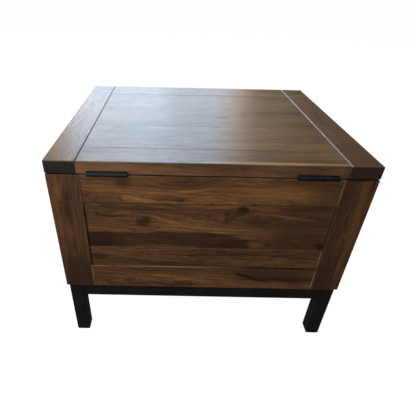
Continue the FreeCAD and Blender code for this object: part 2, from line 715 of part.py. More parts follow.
def stay_stop():
    """Lug on the lower arm that meets the upper arm's edge when the lid is fully open."""
    closed = math.atan2(-CASE_PIVOT[1], -CASE_PIVOT[0])
    turn = closed - math.radians(LID_OPEN_ANGLE)
    along = (math.cos(turn), math.sin(turn))
    across = (math.sin(turn), -math.cos(turn))
    offset = STAY_ARM_WIDTH / 2 + STAY_STOP_CLEARANCE + STAY_STOP_THICKNESS / 2

    def place(reach):
        return tuple(ELBOW[i] + along[i] * reach + across[i] * offset for i in (0, 1))

    near = place(STAY_STOP_START + STAY_STOP_THICKNESS / 2)
    far = place(STAY_STOP_START + STAY_STOP_LENGTH - STAY_STOP_THICKNESS / 2)
    lug = link(near, far, STAY_STOP_THICKNESS, LOWER_ARM_OUTER, UPPER_ARM_INNER)
    middle = place(STAY_STOP_START + STAY_STOP_LENGTH / 2)
    ear = link(ELBOW, middle, STAY_ARM_WIDTH, LOWER_ARM_OUTER, LOWER_ARM_INNER)
    return lug, ear


def stay_lower_arm():
    """Arm from the case bracket to the elbow, parallel to the lid's own lever."""
    arm = link(CASE_PIVOT, ELBOW, STAY_ARM_WIDTH, LOWER_ARM_OUTER, LOWER_ARM_INNER)
    return joined(arm, *stay_stop()).cut([pivot_hole(CASE_PIVOT), pivot_hole(ELBOW)])


def stay_upper_arm():
    """Arm from the elbow to the lid bracket."""
    arm = link(ELBOW, LID_PIVOT, STAY_ARM_WIDTH, UPPER_ARM_OUTER, UPPER_ARM_INNER)
    return arm.cut([pivot_hole(ELBOW), pivot_hole(LID_PIVOT)])


def lid_bracket_screws(maker):
    """One shape for each screw of the lid bracket, driven up into the lid."""
    x = LOWER_ARM_INNER + STAY_FLANGE_WIDTH - STAY_FLANGE_SCREW_INSET
    reach = STAY_FLANGE_LENGTH / 2 - STAY_FLANGE_SCREW_INSET
    y = HINGE_Y - LID_PIVOT[0]
    height = LID_BOTTOM - STAY_PLATE_THICKNESS
    return [maker(Vector(x, y + step * reach, height), Vector(0, 0, 1)) for step in (-1, 1)]


def stay_lid_bracket():
    """Angle bracket under the lid: a flange for the screws and a drop for the pivot."""
    y = HINGE_Y - LID_PIVOT[0]
    half = STAY_FLANGE_LENGTH / 2
    flange_x = (LOWER_ARM_INNER, LOWER_ARM_INNER + STAY_FLANGE_WIDTH)
    flange_z = (LID_BOTTOM - STAY_PLATE_THICKNESS, LID_BOTTOM)
    flange = block(flange_x, (y - half, y + half), flange_z)
    free_edge = ("x", flange_x[1])
    flange = rounded(flange, LEAF_CORNER_ROUND, (free_edge, ("y", y - half)), (free_edge, ("y", y + half)))
    top = (LID_PIVOT[0], LID_BOTTOM - HINGE_Z)
    drop = link(LID_PIVOT, top, STAY_PLATE_WIDTH, LOWER_ARM_OUTER, LOWER_ARM_INNER)
    above = block(flange_x, (y - half, y + half), (LID_BOTTOM, LID_BOTTOM + STAY_PLATE_WIDTH))
    return joined(flange, drop.cut(above)).cut([pivot_hole(LID_PIVOT)] + lid_bracket_screws(screw_hole))


def pieces():
    """Every piece of the table by name."""
    made = {}

    for side in ("front", "right", "rear", "left"):
        made[f"{side}_top_rail"] = wall_top_rail(side)
        made[f"{side}_upper_board"] = wall_upper_board(side)
        made[f"{side}_lower_board"] = wall_lower_board(side)
        made[f"{side}_bottom_rail"] = wall_bottom_rail(side)
        made[f"base_rail_{side}"] = base_rail(side)
    rim_holes = case_leaf_screws(screw_hole)
    made["rear_top_rail"] = made["rear_top_rail"].cut(rim_holes + [mirrored(hole) for hole in rim_holes])

    for name, corner in CORNERS.items():
        made[f"base_leg_{name}"] = base_leg(*corner)
    for name in ("front_left", "front_right"):
        made[f"post_{name}"] = corner_post(*CORNERS[name])
    made["post_rear_right"] = rear_post()
    made["post_rear_left"] = mirrored(rear_post())

    made["floor_cleats"] = floor_cleats()
    made["floor_panel"] = floor_panel()
    made["base_corner_tabs"] = at_corners(corner_tab)
    made["base_leg_glides"] = at_corners(leg_glide)
    made["base_screws"] = at_corners(base_screw)

    made["lid_front_rail"] = lid_front_rail()
    made["lid_rear_rail"] = lid_rear_rail()
    for index in range(LID_FIELD_BOARDS):
        made[f"lid_field_board_{index + 1}"] = lid_field_board(index)

    handed = {
        "lid_end": lid_end(),
        "stay_lower_arm": stay_lower_arm(),
        "stay_upper_arm": stay_upper_arm(),
        "stay_elbow_rivet": rivet(ELBOW, LOWER_ARM_OUTER, UPPER_ARM_INNER, True),
    }
    for name, shape in handed.items():
        made[f"{name}_right"] = shape
        made[f"{name}_left"] = mirrored(shape)

    paired = {
        "hinge_case_leaves": [hinge_case_leaf()],
        "hinge_lid_leaves": [hinge_lid_leaf()],
        "hinge_pins": [hinge_pin()],
        "hinge_case_screws": case_leaf_screws(wood_screw),
        "hinge_lid_screws": lid_leaf_screws(wood_screw),
        "stay_case_brackets": [stay_case_bracket()],
        "stay_lid_brackets": [stay_lid_bracket()],
        "stay_case_screws": case_bracket_screws(wood_screw),
        "stay_lid_screws": lid_bracket_screws(wood_screw),
        "stay_case_rivets": [rivet(CASE_PIVOT, POST_INNER_X, LOWER_ARM_INNER, False)],
        "stay_lid_rivets": [rivet(LID_PIVOT, LOWER_ARM_OUTER, UPPER_ARM_INNER, True)],
        "lid_bumpers": [lid_bumper()],
    }
    for name, shapes in paired.items():
        made[name] = Part.makeCompound(shapes + [mirrored(shape) for shape in shapes])
    return made


def main():
    os.makedirs("parts", exist_ok=True)
    for name, shape in pieces().items():
        shape.exportStep(os.path.join("parts", f"{name}.step"))


if __name__ == "__main__":
    main()
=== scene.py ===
# %% [markdown]
# # A storage end table with a hinged lid
#
# The table is a solid wood box on a low black steel base. Its lid turns on two black butt hinges along the
# rear edge, and a pair of folding stays holds it open. The construction arrives as a fixed model, one mesh
# for each real piece, and this lesson gives every piece its finish. Small round hardware is remodelled here
# with more detail than the construction model needs.

# %% Load the table
import math

import bmesh
import bpy
from mathutils import Euler, Matrix, Vector


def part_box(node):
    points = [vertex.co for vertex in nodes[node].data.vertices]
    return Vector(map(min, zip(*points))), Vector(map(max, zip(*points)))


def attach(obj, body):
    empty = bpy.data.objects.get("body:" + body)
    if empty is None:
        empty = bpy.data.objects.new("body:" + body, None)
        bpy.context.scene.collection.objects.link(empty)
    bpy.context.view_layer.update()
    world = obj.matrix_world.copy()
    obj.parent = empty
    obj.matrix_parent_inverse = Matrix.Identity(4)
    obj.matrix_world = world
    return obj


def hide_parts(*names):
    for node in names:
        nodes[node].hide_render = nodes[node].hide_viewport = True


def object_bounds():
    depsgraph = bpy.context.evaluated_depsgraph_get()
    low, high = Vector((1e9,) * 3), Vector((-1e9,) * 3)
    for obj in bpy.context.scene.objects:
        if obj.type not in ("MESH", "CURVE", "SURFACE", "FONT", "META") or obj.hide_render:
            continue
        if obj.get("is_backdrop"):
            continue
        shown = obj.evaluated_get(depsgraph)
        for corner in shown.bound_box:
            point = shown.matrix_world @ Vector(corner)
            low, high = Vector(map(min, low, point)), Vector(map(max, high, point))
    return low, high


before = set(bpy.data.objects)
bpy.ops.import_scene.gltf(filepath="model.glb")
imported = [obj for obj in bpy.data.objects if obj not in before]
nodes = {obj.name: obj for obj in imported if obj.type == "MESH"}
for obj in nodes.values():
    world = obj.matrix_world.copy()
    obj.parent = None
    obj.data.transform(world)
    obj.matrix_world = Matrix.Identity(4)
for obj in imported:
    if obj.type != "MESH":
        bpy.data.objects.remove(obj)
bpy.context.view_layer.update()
MM = 0.001

# %% [markdown]
# ## The camera
#
# The picture was taken from behind the table, a little to one side and from above, with a wide lens close
# by, so the edges run together strongly. Place, turn and lens come from fitting the table's corners. The
# picture was cropped off centre, and the lens shift repeats that crop.

# %% Set the camera
scene = bpy.context.scene
camera = bpy.data.objects.new("camera", bpy.data.cameras.new("camera"))
scene.collection.objects.link(camera)
camera.location = (0.07486, 0.81021, 0.73792)
camera.rotation_euler = [math.radians(angle) for angle in (56.3464, -1.0193, -179.4664)]
camera.data.sensor_width = 36
camera.data.lens = 30.2783
camera.data.shift_x = 0.0882
camera.data.shift_y = 0.0044
scene.camera = camera
print("camera at", tuple(round(value, 3) for value in camera.location))

# %% [markdown]
# ## Colours and nodes
#
# Colours are noted as they look on a screen, as sRGB hex values, but shaders count in linear light, so one
# function turns the first into the second. Another adds a node with its settings and links, so that each
# material below reads as a list of layers. A Mix node's sockets share their names and go by number instead:
# 0 is the factor, 2 and 3 take numbers, 4 and 5 vectors, 6 and 7 colours, and the outputs are 0, 1 and 2.

# %% Make the helpers for materials
def linear(code):
    """Linear colour from an sRGB hex value."""
    channels = [int(code[i:i + 2], 16) / 255 for i in (1, 3, 5)]
    return [c / 12.92 if c <= 0.04045 else ((c + 0.055) / 1.055) ** 2.4 for c in channels] + [1.0]


def add(tree, kind, links=None, out=None, **settings):
    """A new node: its sockets take values or other sockets. Gives the named output, or the first in use."""
    made = tree.nodes.new(kind)
    for name, value in settings.items():
        setattr(made, name, value)
    for socket, value in (links or {}).items():
        if isinstance(value, bpy.types.NodeSocket):
            tree.links.new(value, made.inputs[socket])
        else:
            made.inputs[socket].default_value = value
    return made.outputs[out] if out else next((socket for socket in made.outputs if socket.enabled), None)


def blank_material(name):
    """An empty material and its node tree."""
    material = bpy.data.materials.new(name)
    material.use_nodes = True
    material.node_tree.nodes.clear()
    return material, material.node_tree


print("middle grey in linear light:", [round(value, 3) for value in linear("#808080")])

# %% [markdown]
# ## The floor
#
# The table stands on a plain pale floor that curves up far away, like a photographer's paper sweep. A flat
# plane would end in a visible horizon, so a profile is spun into a wide bowl instead.

# %% Make the floor
SWEEP = ((0, 0, 0), (9, 0, 0), (13, 0, 1), (15, 0, 3), (16, 0, 7), (16, 0, 20))
SWEEP_STEPS = 48
shape = bmesh.new()
profile = [shape.verts.new(point) for point in SWEEP]
edges = [shape.edges.new(pair) for pair in zip(profile, profile[1:])]
bmesh.ops.spin(shape, geom=profile + edges, axis=(0, 0, 1), cent=(0, 0, 0), angle=math.tau,
               steps=SWEEP_STEPS, use_merge=True)
bmesh.ops.remove_doubles(shape, verts=shape.verts, dist=MM)
bmesh.ops.recalc_face_normals(shape, faces=shape.faces)
floor_mesh = bpy.data.meshes.new("floor")
shape.to_mesh(floor_mesh)
shape.free()
floor_mesh.shade_smooth()
floor = bpy.data.objects.new("floor", floor_mesh)
scene.collection.objects.link(floor)
floor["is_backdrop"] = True
# Dark lacquer and steel stay dark: the white paper throws no light back on them
floor.visible_diffuse = False
floor.visible_glossy = False

# Matt paper, lit until it is so nearly white that only a trace of shadow shows
paper, tree = blank_material("white_paper_floor")
surface = add(tree, "ShaderNodeBsdfPrincipled", {
    "Base Color": linear("#686868"), "Roughness": 0.9, "Specular IOR Level": 0.1,
    "Emission Color": linear("#ffffff"), "Emission Strength": 0.97,
})
add(tree, "ShaderNodeOutputMaterial", {"Surface": surface})
floor_mesh.materials.append(paper)
print("floor:", len(floor_mesh.polygons), "faces")

# %% [markdown]
# ## The light
#
# A tall window beyond the table's front does most of the work. The lacquered lid mirrors it on one half and
# stays brown on the other, and that edge of light says more about the finish than any colour. Two panes of
# cool daylight, a bluer strip of sky, a narrow warm blind and a dim curtain on each side make up the window.
# A large warm softbox behind the camera lights the rear wall, and a ceiling light fills the shadows.

# %% Set the lights
world = bpy.data.worlds.new("soft_room")
scene.world = world
world.use_nodes = True
background = world.node_tree.nodes["Background"]
background.inputs["Color"].default_value = linear("#f6efe6")
background.inputs["Strength"].default_value = 0.14

SOFTBOXES = {
    "left_pane": {
        "at": (0.475, -1.6, 1.2), "to": (0.4, 0.0, 0.6), "size": (0.72, 1.15),
        "watts": 12.4, "hex": "#d5ebff",
    },
    "right_pane": {
        "at": (-0.09, -1.6, 1.2), "to": (0.0, 0.0, 0.6), "size": (0.44, 1.15),
        "watts": 5.06, "hex": "#d5ebff",
    },
    "sky": {
        "at": (0.03, -1.47, 1.5), "to": (0.03, 0.13, 0.9), "size": (0.62, 0.5),
        "watts": 1.8, "hex": "#84c0ff",
    },
    "right_blind": {
        "at": (-0.37, -1.6, 1.2), "to": (-0.2, 0.0, 0.6), "size": (0.12, 1.15),
        "watts": 0.9, "hex": "#ffebd0",
    },
    "left_curtain": {
        "at": (0.93, -1.6, 1.2), "to": (0.6, 0.0, 0.6), "size": (0.2, 1.15),
        "watts": 0.68, "hex": "#f4eb9c",
    },
    "right_curtain": {
        "at": (-0.6, -1.6, 1.2), "to": (-0.4, 0.0, 0.6), "size": (0.34, 1.15),
        "watts": 0.44, "hex": "#fbe6c0",
    },
    "room": {
        "at": (0.85, 1.15, 0.75), "to": (0.1, 0.25, 0.33), "size": (2.0, 1.3),
        "watts": 18.5, "hex": "#fff6ec",
    },
    "ceiling": {
        "at": (0.0, 0.4, 3.2), "to": (0.0, 0.3, 0.0), "size": (3.0, 3.0),
        "watts": 50, "hex": "#e6f6ee",
    },
}
for name, box in SOFTBOXES.items():
    light = bpy.data.lights.new(name, "AREA")
    light.shape = "RECTANGLE"
    light.size, light.size_y = box["size"]
    light.energy = box["watts"]
    light.color = linear(box["hex"])[:3]
    lamp = bpy.data.objects.new(name, light)
    scene.collection.objects.link(lamp)
    lamp.location = box["at"]
    lamp.rotation_euler = (Vector(box["to"]) - Vector(box["at"])).to_track_quat("-Z", "Y").to_euler()
scene.view_settings.view_transform = "Standard"
print("lights:", ", ".join(SOFTBOXES))

# %% [markdown]
# ## A board in its tree
#
# Every board is solid wood. Rings round the tree's heart show as lines and arches on a flat board and as arcs
# on its end, so a picture stretched over each face would not do: the pattern is drawn through the solid. Each
# board is turned so that its grain runs along x, and gets its own place in the tree, so that no two match.
# Long soft waves then bend everything, as wood grows.

# %% Lay a board in its tree
QUARTER = math.pi / 2
TURN = {
    "X": (0, 0, 0), "Y": (0, 0, -QUARTER), "Z": (0, QUARTER, 0), "flat X": (QUARTER, 0, 0),
    "flat Y": (-QUARTER, -QUARTER, 0),
}
AXIS = {"X": (1, 0, 0), "Y": (0, 1, 0), "Z": (0, 0, 1)}
BOARD_STEP = 1.37
HEART = (30 * MM, -90 * MM)
LEAN = (0, math.radians(2.0), math.radians(1.2))


def per_metre(along, across):
    """Pattern scale from its size along and across the grain in millimetres."""
    return (1 / (along * MM), 1 / (across * MM), 1 / (across * MM))


WAVE = per_metre(250, 40)
WAVE_ON_GRAIN = (0.0, 50 * MM, 50 * MM)
WAVE_ON_MARKS = (60 * MM, 0.0, 10 * MM)


def lay(tree, place, grain, middle, seed):
    """Coordinates of a board: laid along x, the same with wavy rims for its marks, and beside the heart."""
    laid = add(tree, "ShaderNodeMapping", {"Vector": place, "Rotation": TURN[grain]})
    flow = add(tree, "ShaderNodeMapping", {
        "Vector": laid, "Rotation": LEAN,
        "Location": (seed * BOARD_STEP, HEART[0] - middle.y, HEART[1] - middle.z),
    })
    waves = add(tree, "ShaderNodeVectorMath", {0: flow, 1: WAVE}, operation="MULTIPLY")
    bend = add(tree, "ShaderNodeTexNoise", {"Vector": waves, "Scale": 1.0, "Detail": 3.0}, out="Color")
    bend = add(tree, "ShaderNodeVectorMath", {0: bend, 1: (0.5, 0.5, 0.5)}, operation="SUBTRACT")
    drift = add(tree, "ShaderNodeVectorMath", {0: bend, 1: WAVE_ON_MARKS, 2: laid}, operation="MULTIPLY_ADD")
    flow = add(tree, "ShaderNodeVectorMath", {0: bend, 1: WAVE_ON_GRAIN, 2: flow}, operation="MULTIPLY_ADD")
    return laid, drift, flow


print("waves per metre:", [round(value, 2) for value in WAVE])

# %% [markdown]
# ## Knots and heartwood
#
# A dark heartwood band, a knot or a golden arch could be painted on a picture, but a few numbers do as well:
# each is a soft ellipse on the board, with its place, size and turn. Its rim is wavy like the grain, and the
# grain swerves round a knot as it does in a real board.

# %% Mark a board
SWERVE_REACH = 4.0


def reach_from(tree, place, x, depth, z, half_length, half_height, degrees):
    """Distance from the middle of an ellipse on a board's face, 1 on its rim. Sizes in millimetres."""
    spot = add(tree, "ShaderNodeMapping", {
        "Vector": place, "Location": (x * MM, depth, z * MM), "Rotation": (0, math.radians(degrees), 0),
        "Scale": (half_length * MM, 1, half_height * MM),
    }, vector_type="TEXTURE")
    return add(tree, "ShaderNodeVectorMath", {0: spot}, operation="LENGTH", out="Value")


def mark(tree, laid, drift, flow, depth, marks):
    """Each mark's mask and strength, and the grain led round the marks that ask for it."""
    stains = []
    for x, z, half_length, half_height, degrees, soft, strength, swerve in marks:
        reach = reach_from(tree, drift, x, depth, z, half_length, half_height, degrees)
        mask = add(tree, "ShaderNodeMapRange", {
            "Value": reach, "From Min": 1 + soft, "From Max": 1 - soft,
        }, interpolation_type="SMOOTHSTEP")
        stains.append((mask, strength))
        if swerve:
            spot = (x * MM, depth, z * MM)
            away = add(tree, "ShaderNodeVectorMath", {0: laid, 1: spot}, operation="SUBTRACT")
            away = add(tree, "ShaderNodeVectorMath", {0: away, 1: (0, 0, swerve)}, operation="MULTIPLY")
            near = add(tree, "ShaderNodeMapRange", {
                "Value": reach, "From Min": SWERVE_REACH, "From Max": 0.0,
            }, interpolation_type="SMOOTHSTEP")
            away = add(tree, "ShaderNodeVectorMath", {0: away, "Scale": near}, operation="SCALE")
            flow = add(tree, "ShaderNodeVectorMath", {0: flow, 1: away}, operation="ADD")
    return stains, flow


print("the grain swerves out to", SWERVE_REACH, "times the size of a knot")

# %% [markdown]
# ## Rings, fibres and pores
#
# Stain brings out four things at once: broad lighter and darker stretches, the line that ends each year's
# ring, bundles of fibre, and open pores that fill with dark stain. Each is a layer from 0 to 1, drawn at its
# own size, long along the grain and short across it. Fibres and pores are finer on the real wood, and are
# drawn as coarse as they need to show.

# %% Draw the figure of the wood
STRETCH = per_metre(303, 40)
RING, RING_SHARPNESS = 11 * MM, 4.0
FIBRE = per_metre(50, 3.03)
PORE = per_metre(20, 1.5385)
PORE_FROM, PORE_TO = 0.56, 0.72


def figure(tree, flow):
    """Layers of the figure: broad stretches, ring lines, fibre bundles and pores."""
    fields = add(tree, "ShaderNodeVectorMath", {0: flow, 1: STRETCH}, operation="MULTIPLY")
    broad = add(tree, "ShaderNodeTexNoise", {"Vector": fields, "Scale": 1.0, "Detail": 3.0})
    # Each ring darkens slowly and ends in a thin dark line, which a dark stretch hides
    across = add(tree, "ShaderNodeVectorMath", {0: flow, 1: (0, 1, 1)}, operation="MULTIPLY")
    radius = add(tree, "ShaderNodeVectorMath", {0: across}, operation="LENGTH", out="Value")
    ring = add(tree, "ShaderNodeMath", {0: radius, 1: 1 / RING}, operation="MULTIPLY")
    ring = add(tree, "ShaderNodeMath", {0: ring}, operation="FRACT")
    ring = add(tree, "ShaderNodeMath", {0: ring, 1: RING_SHARPNESS}, operation="POWER")
    ring = add(tree, "ShaderNodeMath", {0: ring, 1: broad}, operation="MULTIPLY")
    strands = add(tree, "ShaderNodeVectorMath", {0: flow, 1: FIBRE}, operation="MULTIPLY")
    fibre = add(tree, "ShaderNodeTexNoise", {
        "Vector": strands, "Scale": 1.0, "Detail": 4.0, "Roughness": 0.65,
    })
    dashes = add(tree, "ShaderNodeVectorMath", {0: flow, 1: PORE}, operation="MULTIPLY")
    pore = add(tree, "ShaderNodeTexNoise", {"Vector": dashes, "Scale": 1.0, "Detail": 1.0})
    pore = add(tree, "ShaderNodeMapRange", {"Value": pore, "From Min": PORE_FROM, "From Max": PORE_TO})
    return broad, ring, fibre, pore


print("rings", RING / MM, "mm apart")

# %% [markdown]
# ## Edges and seams
#
# Lacquer wears thin along sharp edges, so these turn lighter. Where boards are glued side by side, the
# lacquer fills the small V between them, and the surface shines as if it were level there. The first needs
# the distance to a board's nearest edge, the second a normal that ignores the V.

# %% Find edges and fill seams
SEAM_LENGTH, SEAM_WIDTH, SEAM_RIM = 600, 0.6, 1.2


def edge_distance(tree, place, low, high):
    """Distance to the nearest edge of a box: the second smallest distance to its faces."""
    inset = add(tree, "ShaderNodeVectorMath", {0: place, 1: (low + high) / 2}, operation="SUBTRACT")
    inset = add(tree, "ShaderNodeVectorMath", {0: inset}, operation="ABSOLUTE")
    inset = add(tree, "ShaderNodeVectorMath", {0: (high - low) / 2, 1: inset}, operation="SUBTRACT")
    a, b, c = add(tree, "ShaderNodeSeparateXYZ", {0: inset}).node.outputs
    least = add(tree, "ShaderNodeMath", {0: a, 1: b}, operation="MINIMUM")
    most = add(tree, "ShaderNodeMath", {0: a, 1: b}, operation="MAXIMUM")
    middle = add(tree, "ShaderNodeMath", {0: most, 1: c}, operation="MINIMUM")
    return add(tree, "ShaderNodeMath", {0: least, 1: middle}, operation="MAXIMUM")


def filled_seams(tree, laid, depth, facing, seams):
    """Normal that lies level on the upper face over glued seams, given by their places in millimetres."""
    normal = add(tree, "ShaderNodeNewGeometry", out="Normal")
    level = add(tree, "ShaderNodeVectorTransform", {"Vector": AXIS["Z"]}, vector_type="NORMAL",
                convert_from="OBJECT", convert_to="WORLD")
    upper = add(tree, "ShaderNodeVectorMath", {0: facing, 1: AXIS["Z"]}, operation="DOT_PRODUCT", out="Value")
    upper = add(tree, "ShaderNodeMath", {0: upper, 1: 0.0}, operation="GREATER_THAN")
    for seam in seams:
        reach = reach_from(tree, laid, 0, depth, seam, SEAM_LENGTH, SEAM_WIDTH, 0)
        mask = add(tree, "ShaderNodeMapRange", {
            "Value": reach, "From Min": SEAM_RIM, "From Max": 1.0, "To Max": upper,
        })
        normal = add(tree, "ShaderNodeMix", {0: mask, 4: normal, 5: level}, out=1, data_type="VECTOR")
    return normal


print("a glued seam is filled for", SEAM_WIDTH, "mm on each side")

# %% [markdown]
# ## Walnut stain
#
# One stain gives light wood and dark wood different colours. So the layers of the figure first add up to one
# shade, and a ramp of five tones then turns that into colour, from the darkest line to the lightest streak.
# The marks come over it and keep some of the grain's contrast. The lid is paler than the box, so it has tones
# of its own.

# %% Stain the figure
CASE_TONES = ("#25170f", "#38251b", "#573c27", "#6e4d2f", "#9b6d38")
LID_TONES = ("#37261b", "#4b3424", "#694b35", "#78573e", "#8f6a48")
TONE_STOPS = (0.0, 0.25, 0.5, 0.7, 1.0)
GRAIN_IN_MARKS = 0.4


def stain(tree, layers, stains, tone, tones):
    """Colour of the wood, from its layers with their strengths, its marks and its middle tone."""
    # Noise lies round one half, so half the strength of each lighter layer comes off again
    shade = tone - 0.5 * sum(strength for _, strength in layers if strength > 0)
    for layer, strength in layers:
        shade = add(tree, "ShaderNodeMath", {0: layer, 1: strength, 2: shade}, operation="MULTIPLY_ADD")
    plain = shade
    for mask, strength in stains:
        stained = add(tree, "ShaderNodeMath", {
            0: plain, 1: GRAIN_IN_MARKS, 2: (1 - GRAIN_IN_MARKS) * tone + strength,
        }, operation="MULTIPLY_ADD")
        shade = add(tree, "ShaderNodeMix", {0: mask, 2: shade, 3: stained})
    colour = add(tree, "ShaderNodeValToRGB", {"Fac": shade}, out="Color")
    stops = colour.node.color_ramp.elements
    for index, (at, tone_hex) in enumerate(zip(TONE_STOPS, tones)):
        stop = stops[index] if index < 2 else stops.new(at)
        stop.position = at
        stop.color = linear(tone_hex)
    return colour


print("tones of the box:", CASE_TONES)
print("tones of the lid:", LID_TONES)

# %% [markdown]
# ## Stained hardwood
#
# Now one function finishes a whole board: figure and stain, worn edges, joint lines, end grain and a satin
# lacquer. Joint lines are thin marks too: dark ones are painted shade where a joint lies in shadow, and pale
# ones are painted highlights where the edge of a joint catches the light.
# End grain drinks more stain than the faces, so ends turn darker.

# %% Finish a board
WEAR, WEAR_FROM, WEAR_TO = 0.3, 0.3 * MM, 2.2 * MM
LINE_RIM, LINE_CORE = 1.2, 0.7
END_FROM, END_TO = 0.6, 0.9
NOISE_LOW, NOISE_HIGH = 0.3, 0.7
DULL, CLEAR = 1.35, 0.8
PORE_DEPTH, PORE_RELIEF = 0.4 * MM, 0.1


def hardwood(node, grain, seed, tones, tone=0.55, blotch=1.1, streak=1.0, veins=0.4, pores=0.2, gloss=0.4,
             shine=0.2, end_hex="#1b1713", drink=0.86, marks=(), joints=(), glued=()):
    """Stained and lacquered board: tones run from its darkest line to its lightest streak."""
    material, tree = blank_material(f"stained_hardwood_{node}")
    low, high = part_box(node)
    middle = Euler(TURN[grain]).to_matrix() @ ((low + high) / 2)
    place = add(tree, "ShaderNodeTexCoord", out="Object")
    facing = add(tree, "ShaderNodeTexCoord", out="Normal")
    laid, drift, flow = lay(tree, place, grain, middle, seed)
    stains, flow = mark(tree, laid, drift, flow, middle.y, marks)
    broad, ring, fibre, pore = figure(tree, flow)
    layers = ((broad, blotch), (fibre, streak), (ring, -veins), (pore, -pores))
    colour = stain(tree, layers, stains, tone, tones)
    # Worn edges, broken up by the fibres
    thin = add(tree, "ShaderNodeMapRange", {
        "Value": edge_distance(tree, place, low, high), "From Min": WEAR_TO, "From Max": WEAR_FROM,
        "To Max": WEAR,
    })
    thin = add(tree, "ShaderNodeMath", {0: thin, 1: fibre}, operation="MULTIPLY")
    colour = add(tree, "ShaderNodeMix", {0: thin, 6: colour, 7: linear(tones[-1])}, out=2, data_type="RGBA")
    # Joint lines: dark ones are painted shade, pale ones painted highlights
    for x, z, half_length, half_width, degrees, line_hex, strength in joints:
        reach = reach_from(tree, laid, x, middle.y, z, half_length, half_width, degrees)
        mask = add(tree, "ShaderNodeMapRange", {
            "Value": reach, "From Min": LINE_RIM, "From Max": LINE_CORE, "To Max": strength,
        })
        colour = add(tree, "ShaderNodeMix", {
            0: mask, 6: colour, 7: linear(line_hex),
        }, out=2, data_type="RGBA")
    # End grain: faces square to the grain
    ends = add(tree, "ShaderNodeVectorMath", {
        0: facing, 1: AXIS[grain[-1]],
    }, operation="DOT_PRODUCT", out="Value")
    ends = add(tree, "ShaderNodeMath", {0: ends}, operation="ABSOLUTE")
    ends = add(tree, "ShaderNodeMapRange", {
        "Value": ends, "From Min": END_FROM, "From Max": END_TO, "To Max": drink,
    })
    colour = add(tree, "ShaderNodeMix", {0: ends, 6: colour, 7: linear(end_hex)}, out=2, data_type="RGBA")
    # Satin lacquer: soft reflections, a little clearer where fibre is dense, over sunken pores
    roughness = add(tree, "ShaderNodeMapRange", {
        "Value": fibre, "From Min": NOISE_LOW, "From Max": NOISE_HIGH, "To Min": DULL * gloss,
        "To Max": CLEAR * gloss,
    })
    relief = add(tree, "ShaderNodeMath", {0: pore, 1: -1.0, 2: fibre}, operation="MULTIPLY_ADD")
    relief = {"Height": relief, "Strength": PORE_RELIEF, "Distance": PORE_DEPTH}
    if glued:
        relief["Normal"] = filled_seams(tree, laid, middle.y, facing, glued)
    surface = add(tree, "ShaderNodeBsdfPrincipled", {
        "Base Color": colour, "Roughness": roughness, "Normal": add(tree, "ShaderNodeBump", relief),
        "IOR": 1.5, "Specular IOR Level": shine,
    })
    add(tree, "ShaderNodeOutputMaterial", {"Surface": surface})
    nodes[node].material_slots[0].material = material


print("lacquer wears thin up to", round(WEAR_TO / MM, 1), "mm from an edge")

# %% [markdown]
# ## The figure of the rear wall
#
# The rear wall has the strongest figure on the table: a dark heartwood tongue along the lower edge of the
# wide board, a round knot, a dark diagonal bark streak and golden arches on the rails. Each mark gives its
# place along the board and its height in millimetres, half length, half height, turn in degrees, softness,
# strength and how far the grain swerves round it. A post's grain stands upright, so there the first number
# is the height.

# %% List the marks on the rear wall
UPPER_MARKS = (
    (-170, 350, 90, 26, 0, 0.8, -0.16, 0),
    (-185, 302, 80, 34, 0, 0.8, -0.24, 0),
    (190, 258, 230, 48, 0, 0.03, -0.33, 0),
    (95, 268, 75, 41, 0, 0.03, -0.33, 0),
    (20, 270, 114, 40, 0, 0.03, -0.33, 0),
    (86, 260, 80, 18, 0, 0.15, -0.12, 0),
    (222, 284, 42, 20, 0, 0.5, -0.58, 0),
    (-58, 281, 34, 10, 6, 0.4, -0.42, 0),
    (123, 332, 14, 12, 20, 0.5, -0.37, -0.8),
    (150, 333, 22, 2, 0, 0.6, -0.25, 0),
    (98, 363, 66, 3, 1, 0.7, -0.25, 0),
    (190, 346, 46, 2.5, 0, 0.7, -0.25, 0),
    (-56, 363, 15, 7, 50, 0.5, -0.5, -0.6),
    (-45, 349, 20, 5, 50, 0.6, -0.25, 0),
    (-92, 337, 22, 8, -10, 0.6, -0.25, 0),
    (-148, 349, 56, 3, -8, 0.6, 0.08, 0),
    (-138, 327, 56, 5, 0, 0.7, -0.25, 0),
    (-193, 370, 52, 8, 0, 0.7, -0.3, 0),
    (-229, 278, 10, 9, 30, 0.6, -0.5, 0),
)
LOWER_MARKS = ((228, 244, 14, 9, 0, 0.7, -0.25, 0),)
BOTTOM_MARKS = (
    (-160, 199, 100, 22, 0, 0.8, -0.2, 0),
    (-108, 190, 36, 5, -20, 0.5, -0.5, 0),
    (-178, 186, 62, 6, 0, 0.7, -0.4, 0),
)
TOP_MARKS = (
    (-205, 404, 60, 40, 0, 0.8, -0.14, 0),
    (-130, 404, 80, 20, 0, 0.5, 0.14, -0.5),
    (140, 388, 34, 4, -10, 0.6, 0.25, 0),
    (34, 407, 42, 3, 8, 0.6, 0.2, 0),
    (162, 422, 14, 12, 0, 0.7, -0.25, 0),
)
# The broad dark ellipse low on the post, at height 170, is painted shade, darker towards the bottom
RIGHT_POST_MARKS = (
    (412, -285, 20, 5, 0, 0.7, 0.15, 0),
    (376, -274, 34, 8, 0, 0.7, -0.18, -0.4),
    (271, -273, 24, 5, 0, 0.7, -0.2, 0),
    (170, -270, 75, 45, 0, 0.6, -0.24, 0),
)
# The dark ellipses at heights 410, under the lid, and 190, low on the post, are painted shade
LEFT_POST_MARKS = (
    (410, 250, 40, 14, 0, 0.6, -0.12, 0),
    (300, 252, 90, 10, 0, 0.6, -0.1, 0),
    (190, 262, 70, 36, 0, 0.6, -0.12, 0),
    (350, 289, 80, 7, 1, 0.6, 0.14, 0),
    (240, 288, 40, 5, 1, 0.6, 0.1, 0),
)
print("marks on the wide rear board:", len(UPPER_MARKS))
